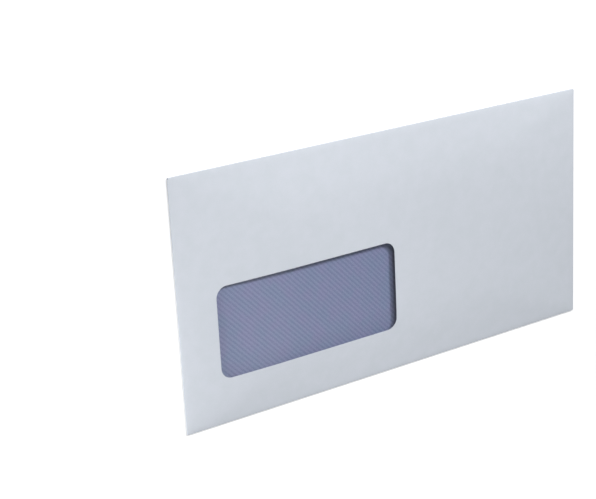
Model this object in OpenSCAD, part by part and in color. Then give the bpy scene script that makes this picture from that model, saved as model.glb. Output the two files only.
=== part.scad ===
// Window envelope, folded from one sheet of paper, lying on its back with the window up.
// X runs along the long side, Y towards the fold of the seal flap, Z up.
// The origin is on the surface that it lies on, under the middle of the envelope.

/* [Envelope] */
// Width of the closed envelope, over its two side folds
env_w = 220; // [180:1:324]
// Height of the closed envelope, from the bottom fold to the top fold
env_h = 110; // [90:1:229]
// How far the front panel bulges up in its middle
bulge_h = 2.2; // [0.4:0.1:4]
// Distance from the bottom fold and the top fold over which the bulge rises
bulge_run = 30; // [12:1:40]
// Distance from each side fold over which the bulge rises
bulge_end_run = 80; // [40:1:86]

/* [Paper] */
// Thickness of the paper
paper_t = 0.12; // [0.08:0.01:0.2]
// Inside radius of the two side folds
fold_r = 0.15; // [0.06:0.01:0.4]
// Air gap between the seal flap and the back panel
flap_gap = 0.08; // [0.04:0.02:0.4]
// Length that each fold stops short of a corner
corner_relief = 0.4; // [0.2:0.1:1.5]
// Width of the flat strip along each fold of the front panel, before the bulge begins
flat_strip = 1; // [0.6:0.1:4]

/* [Window] */
// Width of the window hole
window_w = 91.4; // [50:0.2:120]
// Height of the window hole
window_h = 40.4; // [20:0.2:55]
// Distance from the left fold to the window hole
window_left = 18; // [12:0.2:40]
// Distance from the bottom fold to the window hole
window_bottom = 20; // [12:0.2:40]
// Corner radius of the window hole
window_r = 5; // [1:0.5:9]

/* [Film] */
// Thickness of the clear film
film_t = 0.04; // [0.02:0.01:0.1]
// How far the film reaches past the window hole on each side
film_lap = 8; // [4:0.5:10]

/* [Side flaps] */
// Width of the two glued side flaps
side_flap_w = 16; // [10:1:40]
// How far each end of a side flap slopes in
side_flap_slope = 9; // [3:1:20]
// Corner radius of the side flaps
side_flap_r = 3; // [1:0.5:6]

/* [Back panel] */
// How much narrower the back panel is than the front panel, on each side
back_inset = 1.5; // [1.5:0.5:5]
// Height over which the back panel narrows, from the bottom fold up
back_shoulder = 4; // [2:1:12]
// Distance from the top fold down to the edge of the back panel
throat_h = 12; // [6:1:30]
// Corner radius of the back panel
back_r = 2; // [1:0.5:8]

/* [Seal flap] */
// Depth of the seal flap, from the top fold to its edge
seal_flap_h = 38; // [25:1:60]
// How far each end of the seal flap slopes in
seal_flap_slope = 16; // [6:1:40]
// Corner radius of the seal flap
seal_flap_r = 12; // [4:1:20]

/* [Inside print] */
// Spacing of the hatch lines
hatch_pitch = 1.7; // [1.2:0.1:4]
// Width of one hatch line
hatch_line = 0.85; // [0.3:0.05:1]
// Slant of the hatch lines, which fall to the right
hatch_angle = 46; // [20:1:70]
// Thickness of one layer of ink
ink_t = 0.02; // [0.01:0.01:0.04]
// Bare strip between the print and the edges round it
print_margin = 0.4; // [0.2:0.2:4]

/* [Hidden] */
$fn = 64;

// Strips that each long slope and each end slope of the bulge is made of
long_steps = 6;
end_steps = 10;
// Points on each rounded corner
corner_steps = 12;
// How much higher the end slopes aim than the crown, so that both meet in clean hips
hip_lead = 1.15;
// How far a cutting shape reaches past what it cuts
over = 1;
// Length of the straight legs that carry a fold on to the flat edges of its two panels
leg = flat_strip / 2;

// The layers, from the surface up: seal flap, back panel, side flaps, front panel
back_z = paper_t + flap_gap;
side_z = back_z + paper_t;
front_z = side_z + paper_t + 2 * fold_r;

// Inside radii of the folds that reach from the front panel to the back panel and the seal flap
bottom_fold_r = (front_z - back_z - paper_t) / 2;
top_fold_r = (front_z - paper_t) / 2;

// Edges of the front panel, where its folds begin, and the top edge of the back panel
edge_x = env_w / 2 - fold_r - paper_t;
edge_bottom = -env_h / 2 + bottom_fold_r + paper_t;
edge_top = env_h / 2 - top_fold_r - paper_t;
back_top = env_h / 2 - throat_h;

// Half the length of the two long folds
fold_x = edge_x - corner_relief;

// Middle of the window hole
window_x = -env_w / 2 + window_left + window_w / 2;
window_y = -env_h / 2 + window_bottom + window_h / 2;

// Height of the bulge at a share of its slope, from 0 at its foot to 1 at the crown
function rise(share) = bulge_h * sin(90 * share);

function reversed(line) = [for (i = [len(line) - 1:-1:0]) line[i]];

// Where the bulge begins
foot_x = edge_x - flat_strip;
foot_bottom = edge_bottom + flat_strip;
foot_top = edge_top - flat_strip;

// Section of the bulge across the width, rising over bulge_end_run from each side
function end_slope(z, side) = [
    for (i = [0:end_steps])
        [side * (foot_x - bulge_end_run * i / end_steps), z + hip_lead * rise(i / end_steps)]
];
function width_line(z) = concat(end_slope(z, -1), reversed(end_slope(z, 1)));

// Section of the bulge across the height, rising over bulge_run from bottom and top
function long_slope(z, foot, way) = [
    for (i = [0:long_steps])
        [foot + way * bulge_run * i / long_steps, z + rise(i / long_steps)]
];
function height_line(z) = concat(long_slope(z, foot_bottom, 1), reversed(long_slope(z, foot_top, -1)));

// A section closed round its underside, with a flat strip of width w at both ends
function closed_line(line, z, w) = concat(
    [[line[0][0] - w, -over], [line[0][0] - w, z]],
    line,
    [[line[len(line) - 1][0] + w, z], [line[len(line) - 1][0] + w, -over]]
);

// Points of a polygon, given anticlockwise, whose corners are rounded by the radii r
function rounded(points, r) = [
    for (i = [0:len(points) - 1])
        let (
            here = points[i],
            back = points[(i + len(points) - 1) % len(points)] - here,
            ahead = points[(i + 1) % len(points)] - here,
            to_back = back / norm(back),
            to_ahead = ahead / norm(ahead),
            half = acos(to_back * to_ahead) / 2,
            middle = here + (to_back + to_ahead) / norm(to_back + to_ahead) * r[i] / sin(half),
            sweep = 180 - 2 * half,
            first = atan2(to_ahead[1], to_ahead[0]) - 90 - sweep
        )
        if (r[i] == 0) here
        else each [
            for (k = [0:corner_steps])
                let (turn = first + sweep * k / corner_steps)
                middle + r[i] * [cos(turn), sin(turn)]
        ]
];

// Everything under a bulged face that is at z along its flat strips of width w
module under_bulge(z, w) {
    intersection() {
        rotate([90, 0, 0])
            translate([0, 0, -env_h / 2 - over])
                linear_extrude(env_h + 2 * over)
                    polygon(closed_line(width_line(z), z, w));
        rotate([90, 0, 90])
            translate([0, 0, -env_w / 2 - over])
                linear_extrude(env_w + 2 * over)
                    polygon(closed_line(height_line(z), z, w));
    }
}

// Bulged sheet of thickness t, with its upper face at z along the flat strips
module bulged_sheet(z, t) {
    difference() {
        under_bulge(z, flat_strip);
        under_bulge(z - t, flat_strip + over);
    }
}

// Section of one fold: half a ring that opens towards -X, with a straight leg at each end
module fold_section(r) {
    difference() {
        circle(r + paper_t);
        circle(r);
        translate([-2 * (r + paper_t), -r - 2 * paper_t])
            square([2 * (r + paper_t), 2 * r + 4 * paper_t]);
    }
    for (y = [-r - paper_t, r])
        translate([-leg, y])
            square([leg, paper_t]);
}

// Fold along Y, from the right-hand edge of the front panel down to its side flap
module side_fold() {
    translate([edge_x, edge_top - corner_relief, front_z - fold_r])
        rotate([90, 0, 0])
            linear_extrude(edge_top - edge_bottom - 2 * corner_relief)
                fold_section(fold_r);
}

// Fold along X, from the front panel to a flap under it, on the side that dir gives: 1 top, -1 bottom
module long_fold(r, y, dir) {
    translate([-dir * fold_x, y, front_z - r])
        rotate([90, 0, dir * 90])
            linear_extrude(2 * fold_x)
                fold_section(r);
}

// Outline of the window hole
module window_hole() {
    translate([window_x - window_w / 2, window_y - window_h / 2 + window_r])
        square([window_w, window_h - 2 * window_r]);
    translate([window_x - window_w / 2 + window_r, window_y - window_h / 2])
        square([window_w - 2 * window_r, window_h]);
    for (side = [-1, 1], end = [-1, 1])
        translate([window_x + side * (window_w / 2 - window_r), window_y + end * (window_h / 2 - window_r)])
            circle(window_r);
}

// Bulged front panel with its window hole
module front_panel() {
    difference() {
        bulged_sheet(front_z + paper_t, paper_t);
        linear_extrude(front_z + paper_t + bulge_h + over)
            window_hole();
    }
}

// Glued flap under the right-hand edge, its ends sloped so that it clears the long folds
module side_flap() {
    low = edge_bottom + corner_relief;
    high = edge_top - corner_relief;
    inner = edge_x - side_flap_w;
    translate([0, 0, side_z])
        linear_extrude(paper_t)
            polygon(rounded(
                [
                    [inner, low + side_flap_slope], [edge_x - leg, low], [edge_x, low],
                    [edge_x, high], [edge_x - leg, high], [inner, high - side_flap_slope]
                ],
                [side_flap_r, 0, 0, 0, 0, side_flap_r]
            ));
}

// Panel that closes the back, glued over both side flaps
module back_panel() {
    side = edge_x - back_inset;
    low = edge_bottom + leg;
    translate([0, 0, back_z])
        linear_extrude(paper_t)
            polygon(rounded(
                [
                    [-fold_x, low], [-fold_x, edge_bottom], [fold_x, edge_bottom], [fold_x, low],
                    [side, low + back_shoulder], [side, back_top], [-side, back_top], [-side, low + back_shoulder]
                ],
                [0, 0, 0, 0, 0, back_r, back_r, 0]
            ));
}

// Flap that closes the mouth, folded down over the back panel
module seal_flap() {
    side = fold_x - seal_flap_slope;
    tip = edge_top - seal_flap_h;
    high = edge_top - leg;
    linear_extrude(paper_t)
        polygon(rounded(
            [[-side, tip], [side, tip], [fold_x, high], [fold_x, edge_top], [-fold_x, edge_top], [-fold_x, high]],
            [seal_flap_r, seal_flap_r, 0, 0, 0, 0]
        ));
}

// The folded sheet: front panel, two side flaps, back panel and seal flap
module paper_body() {
    color("#dfe4ee")
        union() {
            front_panel();
            for (turn = [0, 1])
                mirror([turn, 0, 0]) {
                    side_fold();
                    side_flap();
                }
            long_fold(bottom_fold_r, edge_bottom, -1);
            back_panel();
            long_fold(top_fold_r, edge_top, 1);
            seal_flap();
        }
}

// Clear film, glued to the inner face of the front panel round the window hole
module window_film() {
    color("#aebfd6", 0.5)
        intersection() {
            bulged_sheet(front_z, film_t);
            translate([window_x - window_w / 2 - film_lap, window_y - window_h / 2 - film_lap])
                cube([window_w + 2 * film_lap, window_h + 2 * film_lap, front_z + bulge_h + over]);
        }
}

// Hatched print on the inner face of the back panel, between the side flaps
module inside_print() {
    field_w = 2 * (edge_x - side_flap_w - print_margin);
    field_h = back_top - edge_bottom - 2 * print_margin;
    field_y = (back_top + edge_bottom) / 2;
    line_l = norm([field_w, field_h]);
    lines = ceil(line_l / hatch_pitch / 2);
    color("#8088b4")
        translate([0, field_y, side_z]) {
            translate([-field_w / 2, -field_h / 2])
                cube([field_w, field_h, ink_t]);
            linear_extrude(2 * ink_t)
                intersection() {
                    square([field_w, field_h], center = true);
                    rotate(-hatch_angle)
                        for (i = [-lines:lines])
                            translate([0, i * hatch_pitch])
                                square([line_l, hatch_line], center = true);
                }
        }
}

paper_body();
window_film();
inside_print();
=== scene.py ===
import math

import bpy
import numpy as np
from mathutils import Matrix, Vector
from mathutils.geometry import delaunay_2d_cdt


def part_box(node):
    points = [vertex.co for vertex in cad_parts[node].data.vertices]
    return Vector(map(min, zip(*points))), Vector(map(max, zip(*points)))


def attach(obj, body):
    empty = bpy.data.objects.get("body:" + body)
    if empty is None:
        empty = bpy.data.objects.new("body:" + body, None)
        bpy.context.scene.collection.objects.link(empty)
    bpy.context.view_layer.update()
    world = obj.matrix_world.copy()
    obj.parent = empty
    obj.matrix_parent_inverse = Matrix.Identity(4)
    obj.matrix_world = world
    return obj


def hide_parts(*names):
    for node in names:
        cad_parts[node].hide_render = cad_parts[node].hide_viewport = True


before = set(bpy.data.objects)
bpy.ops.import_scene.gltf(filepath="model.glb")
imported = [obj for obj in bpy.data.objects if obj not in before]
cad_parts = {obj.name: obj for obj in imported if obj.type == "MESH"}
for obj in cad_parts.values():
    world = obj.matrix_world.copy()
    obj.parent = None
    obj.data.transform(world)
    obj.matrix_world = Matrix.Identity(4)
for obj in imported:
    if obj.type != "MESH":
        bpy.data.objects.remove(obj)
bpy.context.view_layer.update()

# A long window envelope, lying on its back with the window up.
# X runs along it, Y towards the fold of the seal flap, Z up.
# Sizes are in millimetres unless a note says otherwise, and mm turns them to metres.
mm = 0.001
paperLow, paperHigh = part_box("paper_body")
filmLow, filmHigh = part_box("window_film")
print("frame loaded")


def linear(hexColour):
    # sRGB hex to the linear red, green, blue and alpha that shaders take
    parts = []
    for start in (1, 3, 5):
        value = int(hexColour[start:start + 2], 16) / 255
        parts.append(value / 12.92 if value <= 0.04045 else ((value + 0.055) / 1.055) ** 2.4)
    return (*parts, 1.0)


def addNode(tree, kind, inputs=None, **settings):
    # one node with its settings; each input is a value or the socket that feeds it, under the
    # input's name or its number
    node = tree.nodes.new(kind)
    for name, value in settings.items():
        setattr(node, name, value)
    for key, value in (inputs or {}).items():
        if isinstance(value, bpy.types.NodeSocket):
            tree.links.new(value, node.inputs[key])
        else:
            node.inputs[key].default_value = value
    return node


# the folded sheet: what a maker of envelopes would change
sheet = {
    "paper": 0.12,           # thickness
    "sideFold": 0.15,        # inside radius of the side folds
    "flapGap": 0.08,         # air between the seal flap and the back panel
    "relief": 0.15,          # length that a fold stops short of a corner
    "foldLeg": 0.5,          # straight cut beyond each fold before a flap narrows
    "longSlope": 30,         # length of the bulge's rise from the long folds
    "endSlope": 80,          # and from the side folds
    "hipLead": 1.15, "hipBlend": 0.2,   # where the two slopes meet, and how softly
    "lip": 0.16,             # quick first rise beside each fold
    "lipRun": 2.2,           # and its width
    "windowCorner": 5,
    "filmLap": 8,            # film beyond the window hole
    "sideFlap": 16, "sideFlapSlope": 9, "sideFlapCorner": 3,
    "backInset": 1.5, "backShoulder": 4, "throat": 12, "backCorner": 2,
    "sealFlap": 38, "sealFlapSlope": 16, "sealFlapCorner": 12,
    "ripple": 0.10,          # height of the paper's slow waves
    "rippleSize": 70,        # their length
    "cell": 2.0,             # mesh spacing on the panels
    "lipCell": 0.4,          # mesh spacing beside the folds
    "foldCells": 12,         # mesh cells round each fold
    "sharpAngle": 40,        # degrees; an edge that turns more than this stays crisp
}


def foldedSizes(s):
    # heights of the layers, radii of the folds at the middle of the paper, and edges of the front
    # panel, where its folds begin
    width = (paperHigh.x - paperLow.x) / mm
    height = (paperHigh.y - paperLow.y) / mm
    t = s["paper"]
    backZ = t + s["flapGap"]
    frontZ = backZ + 2 * t + 2 * s["sideFold"]
    d = {"frontZ": frontZ, "middle": frontZ + t / 2}
    # the waves stay under the top of the box
    d["bulge"] = paperHigh.z / mm - frontZ - t - s["ripple"] / 2
    d["sideR"] = s["sideFold"] + t / 2
    d["bottomR"] = (frontZ - backZ) / 2
    d["topR"] = frontZ / 2
    d["edgeX"] = width / 2 - d["sideR"] - t / 2
    d["edgeBottom"] = d["bottomR"] + t / 2 - height / 2
    d["edgeTop"] = height / 2 - d["topR"] - t / 2
    d["foldX"] = d["edgeX"] - s["relief"]
    d["backHeight"] = height / 2 - s["throat"] - d["edgeBottom"]
    return d


folded = foldedSizes(sheet)


def roundedOutline(corners):
    # corners are (x, y, radius), anticlockwise; a corner with a radius becomes an arc
    arcSteps = 14
    points = []
    for i, (x, y, radius) in enumerate(corners):
        here = Vector((x, y))
        toBack = (Vector(corners[i - 1][:2]) - here).normalized()
        toAhead = (Vector(corners[(i + 1) % len(corners)][:2]) - here).normalized()
        if not radius:
            points.append(here)
            continue
        half = toBack.angle(toAhead) / 2
        middle = here + (toBack + toAhead).normalized() * radius / math.sin(half)
        sweep = math.pi - 2 * half
        first = math.atan2(toAhead.y, toAhead.x) - math.pi / 2 - sweep
        for k in range(arcSteps + 1):
            turn = first + sweep * k / arcSteps
            points.append(middle + radius * Vector((math.cos(turn), math.sin(turn))))
    return points


def blankOutline(s, d):
    # the sheet as it was cut, flat: back panel at the bottom, front panel, seal flap at the top
    leg = s["foldLeg"]
    backFold = d["edgeBottom"] - math.pi * d["bottomR"]
    sealFold = d["edgeTop"] + math.pi * d["topR"]
    flapFold = d["edgeX"] + math.pi * d["sideR"]
    low, high = d["edgeBottom"] + s["relief"], d["edgeTop"] - s["relief"]
    backX = d["edgeX"] - s["backInset"]
    right = [
        (backX, backFold - d["backHeight"], s["backCorner"]),
        (backX, backFold - leg - s["backShoulder"], 0),
        (d["foldX"], backFold - leg, 0),
        (d["foldX"], d["edgeBottom"], 0),
        (d["edgeX"], d["edgeBottom"], 0),
        (d["edgeX"], low, 0),
        (flapFold + leg, low, 0),
        (flapFold + s["sideFlap"], low + s["sideFlapSlope"], s["sideFlapCorner"]),
        (flapFold + s["sideFlap"], high - s["sideFlapSlope"], s["sideFlapCorner"]),
        (flapFold + leg, high, 0),
        (d["edgeX"], high, 0),
        (d["edgeX"], d["edgeTop"], 0),
        (d["foldX"], d["edgeTop"], 0),
        (d["foldX"], sealFold + leg, 0),
        (d["foldX"] - s["sealFlapSlope"], sealFold + s["sealFlap"], s["sealFlapCorner"]),
    ]
    return roundedOutline(right + [(-x, y, r) for x, y, r in reversed(right)])


def windowOutline(s):
    # the hole, from the film's box in the frame
    left, right = filmLow.x / mm + s["filmLap"], filmHigh.x / mm - s["filmLap"]
    bottom, top = filmLow.y / mm + s["filmLap"], filmHigh.y / mm - s["filmLap"]
    r = s["windowCorner"]
    return roundedOutline([(left, bottom, r), (right, bottom, r), (right, top, r), (left, top, r)])


# how exactly the flat meshes are cut
cutting = {
    "digits": 6,             # decimals that a lattice line and a share of an edge keep
    "clear": 0.6,            # lattice points stay this far from an outline
    "join": 1e-5,            # points closer than this become one
    "level": 1e-6,           # an edge flatter than this runs along the lattice
    "endShare": 1e-3,        # share of an edge, at both its ends, that isn't cut
    "leastSquare": 1e-12,    # an edge's squared length counts as this much at least
}


def evenSteps(start, end, cell):
    # places from start up to, but not at, end
    count = max(1, round(abs(end - start) / cell))
    return [start + (end - start) * i / count for i in range(count)]


def latticeLines(s, d):
    # lines of the mesh across the blank: wide cells on the panels, narrow ones round the folds
    sideL, bottomL, topL = (math.pi * d[name] for name in ("sideR", "bottomR", "topR"))
    cell, n, lipCell, digits = s["cell"], s["foldCells"], s["lipCell"], cutting["digits"]
    lip = s["lipRun"] + 2 * lipCell
    flapFold = d["edgeX"] + sideL
    backFold, sealFold = d["edgeBottom"] - bottomL, d["edgeTop"] + topL
    right = evenSteps(0, d["edgeX"] - lip, cell)
    right += evenSteps(d["edgeX"] - lip, d["foldX"], lipCell) + [d["foldX"]]
    right += evenSteps(d["edgeX"], flapFold, sideL / n)
    right += evenSteps(flapFold, flapFold + s["sideFlap"], cell) + [flapFold + s["sideFlap"]]
    across = sorted({round(x, digits) for x in right} | {round(-x, digits) for x in right})
    up = evenSteps(backFold - d["backHeight"], backFold, cell)
    up += evenSteps(backFold, d["edgeBottom"], bottomL / n)
    up += evenSteps(d["edgeBottom"], d["edgeBottom"] + lip, lipCell)
    up += evenSteps(d["edgeBottom"] + lip, d["edgeTop"] - lip, cell)
    up += evenSteps(d["edgeTop"] - lip, d["edgeTop"], lipCell)
    up += evenSteps(d["edgeTop"], sealFold, topL / n)
    up += evenSteps(sealFold, sealFold + s["sealFlap"], cell) + [sealFold + s["sealFlap"]]
    return np.array(across), np.array(up)


def splitOutline(points, across, up):
    # adds a point wherever a lattice line crosses the outline, so that cells end cleanly on it
    least, digits = cutting["endShare"], cutting["digits"]
    result = []
    for i, a in enumerate(points):
        b = points[(i + 1) % len(points)]
        shares = {0.0}
        for lines, start, end in ((across, a.x, b.x), (up, a.y, b.y)):
            if abs(end - start) > cutting["level"]:
                cuts = (lines - start) / (end - start)
                shares |= {round(float(t), digits) for t in cuts if least < t < 1 - least}
        result += [a.lerp(b, t) for t in sorted(shares)]
    return result


def inside(x, y, loop):
    # even-odd test of many points against one closed outline
    found = np.zeros(x.shape, bool)
    for i in range(len(loop)):
        (ax, ay), (bx, by) = loop[i - 1], loop[i]
        if ay != by:
            found ^= ((ay > y) != (by > y)) & (x < (bx - ax) * (y - ay) / (by - ay) + ax)
    return found


def onSheet(x, y, loops):
    # within the first loop and outside the others
    keep = inside(x, y, loops[0])
    for hole in loops[1:]:
        keep &= ~inside(x, y, hole)
    return keep


def distanceTo(x, y, loop):
    # from many points to the nearest edge of one closed outline
    nearest = np.full(x.shape, np.inf)
    for i in range(len(loop)):
        (ax, ay), (bx, by) = loop[i - 1], loop[i]
        square = max((bx - ax) ** 2 + (by - ay) ** 2, cutting["leastSquare"])
        t = np.clip(((x - ax) * (bx - ax) + (y - ay) * (by - ay)) / square, 0, 1)
        nearest = np.minimum(nearest, np.hypot(x - ax - t * (bx - ax), y - ay - t * (by - ay)))
    return nearest


def flatMesh(name, loops, across, up):
    # a flat mesh, in metres, of what lies within the first loop and outside the others
    loops = [splitOutline(loop, across, up) for loop in loops]
    gridX, gridY = (g.ravel() for g in np.meshgrid(across, up))
    keep = onSheet(gridX, gridY, loops)
    gridX, gridY = gridX[keep], gridY[keep]
    far = np.ones(gridX.shape, bool)
    for loop in loops:
        far &= distanceTo(gridX, gridY, loop) > cutting["clear"]
    points, edges = [], []
    for loop in loops:
        first = len(points)
        points += loop
        edges += [(first + i, first + (i + 1) % len(loop)) for i in range(len(loop))]
    points += [Vector((float(x), float(y))) for x, y in zip(gridX[far], gridY[far])]
    everyTriangle = 0    # also those off the sheet, which go in the next lines
    made = delaunay_2d_cdt(points, edges, [], everyTriangle, cutting["join"])
    places, triangles = np.array(made[0]), np.array(made[2])
    middleX, middleY = places[triangles].mean(axis=1).T
    keep = onSheet(middleX, middleY, loops)
    mesh = bpy.data.meshes.new(name)
    mesh.from_pydata([(x * mm, y * mm, 0) for x, y in places], [], triangles[keep].tolist())
    mesh.update()
    if sum(f.normal.z for f in mesh.polygons) < 0:
        mesh.flip_normals()
    mesh.polygons.foreach_set("use_smooth", [True] * len(mesh.polygons))
    return mesh


def foldSteps():
    # how the fold is worked out: name of the result, what is done, and with which values
    steps = [
        ("sideways", "ABSOLUTE", "flatX"),
        ("pastSide", "SUBTRACT", "sideways", "Edge X"),
        ("pastTop", "SUBTRACT", "flatY", "Edge Top"),
        ("pastBottom", "SUBTRACT", "Edge Bottom", "flatY"),
    ]
    # past its edge the sheet turns half a circle under and then runs back flat
    for fold in ("Side", "Top", "Bottom"):
        steps += [
            ("turn", "DIVIDE", "past" + fold, fold + " Radius"),
            ("turn", "MAXIMUM", "turn", 0.0),
            ("turn", "MINIMUM", "turn", math.pi),
            ("out", "SINE", "turn"),
            ("out", "MULTIPLY", "out", fold + " Radius"),
            ("arc", "MULTIPLY", fold + " Radius", math.pi),
            ("back", "SUBTRACT", "past" + fold, "arc"),
            ("back", "MAXIMUM", "back", 0.0),
            ("along" + fold, "SUBTRACT", "out", "back"),
            ("fall", "COSINE", "turn"),
            ("fall", "SUBTRACT", 1.0, "fall"),
            ("drop" + fold, "MULTIPLY", "fall", fold + " Radius"),
        ]
    steps += [
        ("x", "MINIMUM", "sideways", "Edge X"),
        ("x", "ADD", "x", "alongSide"),
        ("sign", "SIGN", "flatX"),
        ("x", "MULTIPLY", "x", "sign"),
        ("y", "MAXIMUM", "flatY", "Edge Bottom"),
        ("y", "MINIMUM", "y", "Edge Top"),
        ("y", "ADD", "y", "alongTop"),
        ("y", "SUBTRACT", "y", "alongBottom"),
        ("drop", "ADD", "dropSide", "dropTop"),
        ("drop", "ADD", "drop", "dropBottom"),
        ("fromSide", "SUBTRACT", "Edge X", "sideways"),
        ("fromBottom", "SUBTRACT", "flatY", "Edge Bottom"),
        ("fromTop", "SUBTRACT", "Edge Top", "flatY"),
        ("fromLong", "MINIMUM", "fromBottom", "fromTop"),
    ]
    # the bulge: a rounded slope from each fold, and the lower of the two counts
    slopes = (("ends", "fromSide", "End Slope"), ("longs", "fromLong", "Long Slope"))
    for rise, distance, length in slopes:
        steps += [
            (rise, "DIVIDE", distance, length),
            (rise, "MAXIMUM", rise, 0.0),
            (rise, "MINIMUM", rise, 1.0),
            (rise, "MULTIPLY", rise, math.pi / 2),
            (rise, "SINE", rise),
        ]
    steps += [
        ("ends", "MULTIPLY", "ends", "Hip Lead"),
        ("swell", "SMOOTH_MIN", "ends", "longs", "Hip Blend"),
        ("swell", "MAXIMUM", "swell", 0.0),
        # the lip is a quick first rise beside the folds
        ("fromFold", "MINIMUM", "fromSide", "fromLong"),
        ("falling", "DIVIDE", "fromFold", "Lip Run"),
        ("falling", "MAXIMUM", "falling", 0.0),
        ("falling", "MINIMUM", "falling", 1.0),
        ("falling", "SUBTRACT", 1.0, "falling"),
        ("falling", "MULTIPLY", "falling", "falling"),
        ("lip", "SUBTRACT", 1.0, "falling"),
        ("lip", "MULTIPLY", "lip", "Lip"),
        ("main", "SUBTRACT", "Bulge", "Lip"),
        ("main", "MULTIPLY", "main", "swell"),
        # slow waves that die out towards the folds
        ("waves", "SUBTRACT", "noise", 0.5),
        ("waves", "MULTIPLY", "waves", 2.0),
        ("waves", "MULTIPLY", "waves", "swell"),
        ("waves", "MULTIPLY", "waves", "Ripple"),
        ("z", "SUBTRACT", "Height", "drop"),
        ("z", "ADD", "z", "main"),
        ("z", "ADD", "z", "lip"),
        ("z", "ADD", "z", "waves"),
    ]
    return steps


def foldTree():
    # Geometry Nodes: folds a flat sheet down round three radii and lets its front panel bulge
    tree = bpy.data.node_groups.new("foldEnvelope", "GeometryNodeTree")
    sockets = tree.interface
    sockets.new_socket("Geometry", in_out="INPUT", socket_type="NodeSocketGeometry")
    for name in (
        "Edge X", "Edge Bottom", "Edge Top", "Side Radius", "Bottom Radius", "Top Radius",
        "Height", "Bulge", "Long Slope", "End Slope", "Hip Lead", "Hip Blend",
        "Lip", "Lip Run", "Ripple", "Ripple Size",
    ):
        sockets.new_socket(name, in_out="INPUT", socket_type="NodeSocketFloat")
    sockets.new_socket("Material", in_out="INPUT", socket_type="NodeSocketMaterial")
    sockets.new_socket("Geometry", in_out="OUTPUT", socket_type="NodeSocketGeometry")
    given = addNode(tree, "NodeGroupInput").outputs
    place = addNode(tree, "GeometryNodeInputPosition").outputs[0]
    flat = addNode(tree, "ShaderNodeSeparateXYZ", {0: place}).outputs
    waveScale = addNode(tree, "ShaderNodeMath", {
        0: 1.0, 1: given["Ripple Size"]}, operation="DIVIDE").outputs[0]
    noise = addNode(tree, "ShaderNodeTexNoise", {
        "Vector": place, "Scale": waveScale, "Detail": 1.0}).outputs[0]

    known = {socket.name: socket for socket in given if socket.name}
    known |= {"flatX": flat["X"], "flatY": flat["Y"], "noise": noise}
    for result, operation, *values in foldSteps():
        inputs = {i: known.get(value, value) for i, value in enumerate(values)}
        known[result] = addNode(tree, "ShaderNodeMath", inputs, operation=operation).outputs[0]

    position = addNode(tree, "ShaderNodeCombineXYZ", {
        "X": known["x"], "Y": known["y"], "Z": known["z"]}).outputs[0]
    moved = addNode(tree, "GeometryNodeSetPosition", {
        "Geometry": given["Geometry"], "Position": position}).outputs[0]
    real = addNode(tree, "GeometryNodeRealizeInstances", {0: moved}).outputs[0]
    done = addNode(tree, "GeometryNodeSetMaterial", {
        "Geometry": real, "Material": given["Material"]}).outputs[0]
    addNode(tree, "NodeGroupOutput", {0: done})
    return tree


def foldMesh(name, mesh, tree, height, thickness, materials):
    # folds a flat mesh, gives it its thickness and returns it as a plain object; the materials are
    # those of the outer face, the inner face and the cut edge, or one for all
    rough = bpy.data.objects.new(name + "Flat", mesh)
    bpy.context.scene.collection.objects.link(rough)
    for material in materials:
        mesh.materials.append(material)
    fold = rough.modifiers.new("fold", "NODES")
    fold.node_group = tree
    lengths = {
        "Edge X": folded["edgeX"],
        "Edge Bottom": folded["edgeBottom"], "Edge Top": folded["edgeTop"],
        "Side Radius": folded["sideR"],
        "Bottom Radius": folded["bottomR"], "Top Radius": folded["topR"],
        "Height": height, "Bulge": folded["bulge"],
        "Long Slope": sheet["longSlope"], "End Slope": sheet["endSlope"],
        "Lip": sheet["lip"], "Lip Run": sheet["lipRun"],
        "Ripple": sheet["ripple"], "Ripple Size": sheet["rippleSize"],
    }
    values = {name: length * mm for name, length in lengths.items()}
    values |= {"Hip Lead": sheet["hipLead"], "Hip Blend": sheet["hipBlend"]}
    values["Material"] = materials[0]
    for socket in tree.interface.items_tree:
        if socket.in_out == "INPUT" and socket.name in values:
            fold[socket.identifier] = values[socket.name]
    solid = rough.modifiers.new("thickness", "SOLIDIFY")
    solid.thickness = thickness * mm
    solid.offset = 0
    solid.material_offset = 1
    solid.material_offset_rim = 2
    bpy.context.view_layer.update()
    evaluated = rough.evaluated_get(bpy.context.evaluated_depsgraph_get())
    plain = bpy.data.meshes.new_from_object(evaluated)
    bpy.data.objects.remove(rough)
    plain.set_sharp_from_angle(angle=math.radians(sheet["sharpAngle"]))
    piece = bpy.data.objects.new(name, plain)
    plain.name = name
    bpy.context.scene.collection.objects.link(piece)
    print(name, "folded:", len(plain.polygons), "faces")
    return piece


def newMaterial(name):
    material = bpy.data.materials.new(name)
    material.use_nodes = True
    material.node_tree.nodes.clear()
    return material, material.node_tree


def patternPlace(tree):
    # Object coordinates in millimetres, so that a pattern's scale is one over its real size
    place = addNode(tree, "ShaderNodeTexCoord").outputs["Object"]
    return addNode(tree, "ShaderNodeVectorMath", {
        0: place, "Scale": 1 / mm}, operation="SCALE").outputs[0]


# wove envelope paper, cool white, machine finished: matt, with a cloudy formation and short fibres
outsidePaper = {
    "light": "#E2E6EE",
    "dark": "#DEE3EA",
    "cloud": 6.0,        # mm, clumps of fibre that show as faint clouds
    "fibre": 0.5,        # mm, drawn coarser than the real 0.03 mm so that they show
    "fibreShare": 0.4,   # of the fibres in the pattern, the rest is clouds
    "patternLow": 0.38, "patternHigh": 0.62,    # part of the pattern between dark and light
    "roughness": 0.62,
    "roughnessSpread": 0.05,
    "specular": 0.3,     # the sizing in the paper takes some of the shine away
    "bumpHeight": 0.006,    # mm
}


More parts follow.
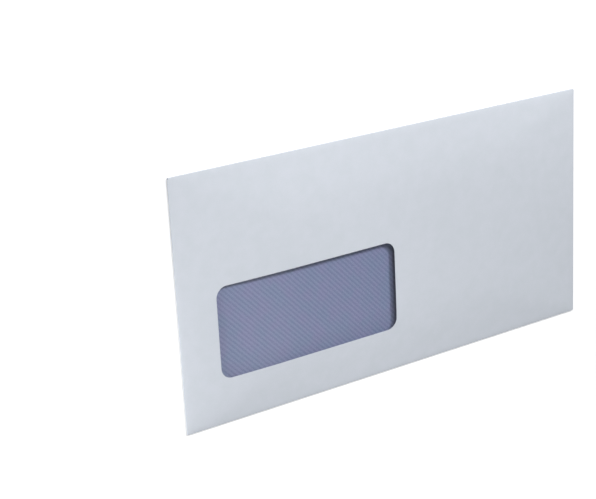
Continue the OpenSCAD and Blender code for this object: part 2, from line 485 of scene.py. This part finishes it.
def paperMaterial(p):
    material, tree = newMaterial("wovePaperOutside")
    place = patternPlace(tree)
    clouds = addNode(tree, "ShaderNodeTexNoise", {
        "Vector": place, "Scale": 1 / p["cloud"], "Detail": 3.0, "Roughness": 0.6}).outputs[0]
    fibres = addNode(tree, "ShaderNodeTexNoise", {
        "Vector": place, "Scale": 1 / p["fibre"], "Detail": 4.0, "Roughness": 0.7}).outputs[0]
    mixed = addNode(tree, "ShaderNodeMix", {
        0: p["fibreShare"], 2: clouds, 3: fibres}).outputs[0]
    shade = addNode(tree, "ShaderNodeMapRange", {
        "Value": mixed, "From Min": p["patternLow"], "From Max": p["patternHigh"]}).outputs[0]
    colour = addNode(tree, "ShaderNodeMix", {
        0: shade, 6: linear(p["dark"]), 7: linear(p["light"])}, data_type="RGBA").outputs[2]
    rough = addNode(tree, "ShaderNodeMapRange", {
        "Value": fibres,
        "To Min": p["roughness"] - p["roughnessSpread"],
        "To Max": p["roughness"] + p["roughnessSpread"]}).outputs[0]
    bump = addNode(tree, "ShaderNodeBump", {
        "Height": fibres, "Distance": p["bumpHeight"] * mm, "Strength": 1.0}).outputs[0]
    shader = addNode(tree, "ShaderNodeBsdfPrincipled", {
        "Base Color": colour, "Roughness": rough, "Normal": bump, "IOR": 1.5,
        "Specular IOR Level": p["specular"]})
    addNode(tree, "ShaderNodeOutputMaterial", {"Surface": shader.outputs[0]})
    return material


# the same paper on its inner face, printed all over in blue with a slanting hatch by a flexo press:
# flat tint with soft-edged darker lines
insidePrint = {
    "tints": ("#A3ABC1", "#ABA9C3"),    # blue-grey and violet, where the inking is uneven
    "tintLow": 0.38, "tintHigh": 0.62,  # part of the blotches between the two
    "lineShade": "#E8E8EE",              # the tint is multiplied by this where a line is
    "pitch": 1.71,       # mm between lines
    "slant": 46,         # degrees that the lines fall to the right
    "blotch": 8,         # mm, uneven inking
    "lineBlur": 0.6,     # softness of a line's edge, as a share of the line
    "grain": 0.9,        # mm, ink that misses the fibres, drawn coarser than the real 0.05 mm
    "missing": 0.7,      # how much of a line it misses
    "roughness": 0.7,
}


def printMaterial(p):
    material, tree = newMaterial("flexoHatchInside")
    place = patternPlace(tree)
    # a sine across the lines, with one turn to each pitch
    slant, turn = math.radians(p["slant"]), 2 * math.pi / p["pitch"]
    across = (turn * math.sin(slant), turn * math.cos(slant), 0)
    along = addNode(tree, "ShaderNodeVectorMath", {
        0: place, 1: across}, operation="DOT_PRODUCT").outputs["Value"]
    wave = addNode(tree, "ShaderNodeMath", {0: along}, operation="SINE").outputs[0]
    line = addNode(tree, "ShaderNodeMapRange", {
        "Value": wave, "From Min": -p["lineBlur"], "From Max": p["lineBlur"]},
        interpolation_type="SMOOTHSTEP").outputs[0]
    grain = addNode(tree, "ShaderNodeTexNoise", {
        "Vector": place, "Scale": 1 / p["grain"], "Detail": 3.0}).outputs[0]
    missed = addNode(tree, "ShaderNodeMapRange", {
        "Value": grain, "To Min": -p["missing"], "To Max": p["missing"]}).outputs[0]
    ink = addNode(tree, "ShaderNodeMath", {
        0: line, 1: missed}, operation="ADD", use_clamp=True).outputs[0]
    blotch = addNode(tree, "ShaderNodeTexNoise", {
        "Vector": place, "Scale": 1 / p["blotch"], "Detail": 3.0}).outputs[0]
    uneven = addNode(tree, "ShaderNodeMapRange", {
        "Value": blotch, "From Min": p["tintLow"], "From Max": p["tintHigh"]}).outputs[0]
    blueGrey, violet = (linear(tint) for tint in p["tints"])
    tint = addNode(tree, "ShaderNodeMix", {
        0: uneven, 6: blueGrey, 7: violet}, data_type="RGBA").outputs[2]
    colour = addNode(tree, "ShaderNodeMix", {
        0: ink, 6: tint, 7: linear(p["lineShade"])},
        data_type="RGBA", blend_type="MULTIPLY").outputs[2]
    shader = addNode(tree, "ShaderNodeBsdfPrincipled", {
        "Base Color": colour, "Roughness": p["roughness"]})
    addNode(tree, "ShaderNodeOutputMaterial", {"Surface": shader.outputs[0]})
    return material


# the bare cut of the sheet: the same paper without its finish, so rougher, and greyer than the
# paper, partly as a bare cut is and partly as painted shade that keeps the lit cut at the window's
# rims dark
cutEdgeWithShade = {
    "light": "#DDE0E8",
    "dark": "#D2D6E0",
    "grain": 0.3,        # mm, torn ends of fibres, drawn coarser than the real 0.03 mm
    "roughness": 0.9,
}


def edgeMaterial(p):
    material, tree = newMaterial("paperCutEdgeAndShade")
    grain = addNode(tree, "ShaderNodeTexNoise", {
        "Vector": patternPlace(tree), "Scale": 1 / p["grain"]}).outputs[0]
    # partly painted shade: both colours are greyer than the paper, so the cut reads dark where it
    # faces the camera in the window's rims
    colour = addNode(tree, "ShaderNodeMix", {
        0: grain, 6: linear(p["light"]), 7: linear(p["dark"])}, data_type="RGBA").outputs[2]
    shader = addNode(tree, "ShaderNodeBsdfPrincipled", {
        "Base Color": colour, "Roughness": p["roughness"]})
    addNode(tree, "ShaderNodeOutputMaterial", {"Surface": shader.outputs[0]})
    return material


# clear polystyrene film, cast and stretched: glossy, with a cool cast and slow ripples that bend
# its shine
film = {
    "thickness": 0.04,
    "gap": 0.01,          # glue line under the paper
    "cell": 2.0,          # mesh spacing
    "tint": "#F1F4FA",
    "roughness": 0.06,
    "ripple": 14,         # mm, length of the ripples
    "rippleHeight": 0.02,
}


def filmMaterial(p):
    material, tree = newMaterial("clearPolystyreneFilm")
    waves = addNode(tree, "ShaderNodeTexNoise", {
        "Vector": patternPlace(tree), "Scale": 1 / p["ripple"], "Detail": 1.0}).outputs[0]
    bump = addNode(tree, "ShaderNodeBump", {
        "Height": waves, "Distance": p["rippleHeight"] * mm}).outputs[0]
    glass = addNode(tree, "ShaderNodeBsdfPrincipled", {
        "Base Color": linear(p["tint"]), "Roughness": p["roughness"], "IOR": 1.5,
        "Transmission Weight": 1.0, "Normal": bump}).outputs[0]
    through = addNode(tree, "ShaderNodeBsdfTransparent", {"Color": linear(p["tint"])}).outputs[0]
    # light that only passes through to the print goes straight on, so it isn't counted twice
    path = addNode(tree, "ShaderNodeLightPath").outputs
    passing = addNode(tree, "ShaderNodeMath", {
        0: path["Is Shadow Ray"], 1: path["Is Diffuse Ray"]}, operation="MAXIMUM").outputs[0]
    either = addNode(tree, "ShaderNodeMixShader", {0: passing, 1: glass, 2: through}).outputs[0]
    addNode(tree, "ShaderNodeOutputMaterial", {"Surface": either})
    return material


def makeSheet(tree):
    across, up = latticeLines(sheet, folded)
    loops = [blankOutline(sheet, folded), windowOutline(sheet)]
    mesh = flatMesh("paperSheet", loops, across, up)
    materials = [paperMaterial(outsidePaper), printMaterial(insidePrint), edgeMaterial(cutEdgeWithShade)]
    piece = foldMesh("paperSheet", mesh, tree, folded["middle"], sheet["paper"], materials)
    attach(piece, "root")
    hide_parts("paper_body", "inside_print")


def makeFilm(tree):
    left, right = filmLow.x / mm, filmHigh.x / mm
    bottom, top = filmLow.y / mm, filmHigh.y / mm
    across = np.array(evenSteps(left, right, film["cell"]) + [right])
    up = np.array(evenSteps(bottom, top, film["cell"]) + [top])
    corners = [Vector(p) for p in ((left, bottom), (right, bottom), (right, top), (left, top))]
    mesh = flatMesh("filmPatch", [corners], across, up)
    middle = folded["frontZ"] - film["gap"] - film["thickness"] / 2
    piece = foldMesh("filmPatch", mesh, tree, middle, film["thickness"], [filmMaterial(film)])
    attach(piece, "root")
    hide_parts("window_film")


# matt white board; camera and mirror rays see it brighter, so that it reads as a white ground
# with a shadow on it
ground = {
    "reach": 6.0,            # metres from the middle to each side
    "below": 0.02,           # mm under the paper, so that the two faces aren't one
    "colour": "#EDEDED",
    "glow": 0.44,            # near the envelope, where its shadow falls
    "farGlow": 1.0,          # and far from it
    "near": 0.14, "far": 0.4,       # metres from the middle
}


def makeFloor(g):
    reach, low = g["reach"], -g["below"] * mm
    mesh = bpy.data.meshes.new("floor")
    corners = [(x * reach, y * reach, low) for x, y in ((-1, -1), (1, -1), (1, 1), (-1, 1))]
    mesh.from_pydata(corners, [], [(0, 1, 2, 3)])
    floor = bpy.data.objects.new("floor", mesh)
    bpy.context.scene.collection.objects.link(floor)
    material, tree = newMaterial("whiteBoard")
    board = addNode(tree, "ShaderNodeBsdfDiffuse", {"Color": linear(g["colour"])}).outputs[0]
    place = addNode(tree, "ShaderNodeTexCoord").outputs["Object"]
    away = addNode(tree, "ShaderNodeVectorMath", {0: place}, operation="LENGTH").outputs["Value"]
    strength = addNode(tree, "ShaderNodeMapRange", {
        "Value": away, "From Min": g["near"], "From Max": g["far"],
        "To Min": g["glow"], "To Max": g["farGlow"]},
        interpolation_type="SMOOTHSTEP").outputs[0]
    path = addNode(tree, "ShaderNodeLightPath").outputs
    seen = path["Is Camera Ray"]
    for ray in ("Is Transmission Ray", "Is Glossy Ray"):
        seen = addNode(tree, "ShaderNodeMath", {
            0: seen, 1: path[ray]}, operation="MAXIMUM").outputs[0]
    shown = addNode(tree, "ShaderNodeMath", {
        0: seen, 1: strength}, operation="MULTIPLY").outputs[0]
    glow = addNode(tree, "ShaderNodeEmission", {
        "Color": (1, 1, 1, 1), "Strength": shown}).outputs[0]
    both = addNode(tree, "ShaderNodeAddShader", {0: board, 1: glow}).outputs[0]
    addNode(tree, "ShaderNodeOutputMaterial", {"Surface": both})
    mesh.materials.append(material)


# two softboxes beyond the fold of the seal flap, two low ones on the left, one on the near side,
# one that the film mirrors, two spots for the near side and the left, and a dim room
# places and aims in mm, sizes and spotRadius in metres, powers in watts, spreads in degrees,
# half widths of the spots in radians
studio = {
    "room": 0.14, "roomColour": "#F0F8FF",
    "softboxes": [
        {"name": "farBox", "place": (-92, 342, 354), "aim": (0, 0), "size": 0.12, "power": 0.624},
        {"name": "keyBox", "place": (177, 306, 354), "aim": (0, 0), "size": 0.12, "power": 1.345},
        {"name": "leftBox", "place": (-260, 0, 60), "aim": (0, 0), "size": 0.08, "power": 0.048},
        {"name": "edgeBox", "place": (-185, -35, 20), "aim": (0, 0), "size": 0.04, "power": 0.038},
        {"name": "nearBox", "place": (60, -420, 150), "aim": (0, 0), "size": 0.08, "power": 0.248},
        {"name": "sheenBox", "place": (150, -229, 482), "aim": (-112, 8), "size": 0.4,
         "power": 0.0062, "spread": 26},
    ],
    "wideSpread": 180,        # of the boxes that give none
    "spots": [
        {"name": "nearSpot", "aim": (-14, -628), "half": 0.327, "blend": 0.15, "power": 5.45},
        {"name": "leftSpot", "aim": (-90, -40), "half": 0.16, "blend": 1.0, "power": 3.47},
    ],
    "spotPlace": (56, 565, 565), "spotRadius": 0.04,
    "mirrored": "sheenBox",   # the only lamp that the film shows
}


def addLamp(name, kind, place, aim):
    lamp = bpy.data.lights.new(name, kind)
    holder = bpy.data.objects.new(name, lamp)
    start, end = Vector(place) * mm, Vector((*aim, 0)) * mm
    holder.location = start
    holder.rotation_euler = (end - start).to_track_quat("-Z", "Y").to_euler()
    bpy.context.scene.collection.objects.link(holder)
    holder.visible_camera = False
    holder.visible_glossy = holder.visible_transmission = name == studio["mirrored"]
    return lamp


def makeStudio(s):
    scene = bpy.context.scene
    world = bpy.data.worlds.new("studio")
    scene.world = world
    world.use_nodes = True
    tree = world.node_tree
    tree.nodes.clear()
    path = addNode(tree, "ShaderNodeLightPath").outputs
    soft = addNode(tree, "ShaderNodeBackground", {
        "Color": linear(s["roomColour"]), "Strength": s["room"]}).outputs[0]
    white = addNode(tree, "ShaderNodeBackground", {
        "Color": (1, 1, 1, 1), "Strength": 1.0}).outputs[0]
    mixed = addNode(tree, "ShaderNodeMixShader", {
        0: path["Is Camera Ray"], 1: soft, 2: white}).outputs[0]
    addNode(tree, "ShaderNodeOutputWorld", {"Surface": mixed})
    for box in s["softboxes"]:
        lamp = addLamp(box["name"], "AREA", box["place"], box["aim"])
        lamp.shape, lamp.size, lamp.energy = "SQUARE", box["size"], box["power"]
        lamp.spread = math.radians(box.get("spread", s["wideSpread"]))
    for spot in s["spots"]:
        lamp = addLamp(spot["name"], "SPOT", s["spotPlace"], spot["aim"])
        lamp.spot_size, lamp.spot_blend = 2 * spot["half"], spot["blend"]
        lamp.energy, lamp.shadow_soft_size = spot["power"], s["spotRadius"]
    scene.view_settings.view_transform = "Standard"


# the camera stands where the panel's outline and the window's rims fall as in the photograph
view = {
    "place": (-396.1, 209.9, 513.1),
    "target": (-50.0, 12.2, 0.8),
    "roll": -3.1,              # degrees about the line of sight
    "lens": 93.4,
    "sensor": 36,              # width
    "clip": (0.01, 50),        # metres
}


def makeCamera(v):
    lens = bpy.data.cameras.new("camera")
    lens.lens = v["lens"]
    lens.sensor_width = v["sensor"]
    lens.clip_start, lens.clip_end = v["clip"]
    camera = bpy.data.objects.new("camera", lens)
    place, target = (Vector(v[name]) * mm for name in ("place", "target"))
    back = (place - target).normalized()
    right = Vector((0, 1, 0)).cross(back).normalized()
    turn = Matrix.Rotation(math.radians(v["roll"]), 4, "Z")
    axes = Matrix((right, back.cross(right), back)).transposed().to_4x4()
    camera.matrix_world = Matrix.Translation(place) @ axes @ turn
    bpy.context.scene.collection.objects.link(camera)
    bpy.context.scene.camera = camera


makeCamera(view)
print("camera placed")
folds = foldTree()
makeSheet(folds)
makeFilm(folds)
print("envelope made")
makeFloor(ground)
makeStudio(studio)
print("studio lit")
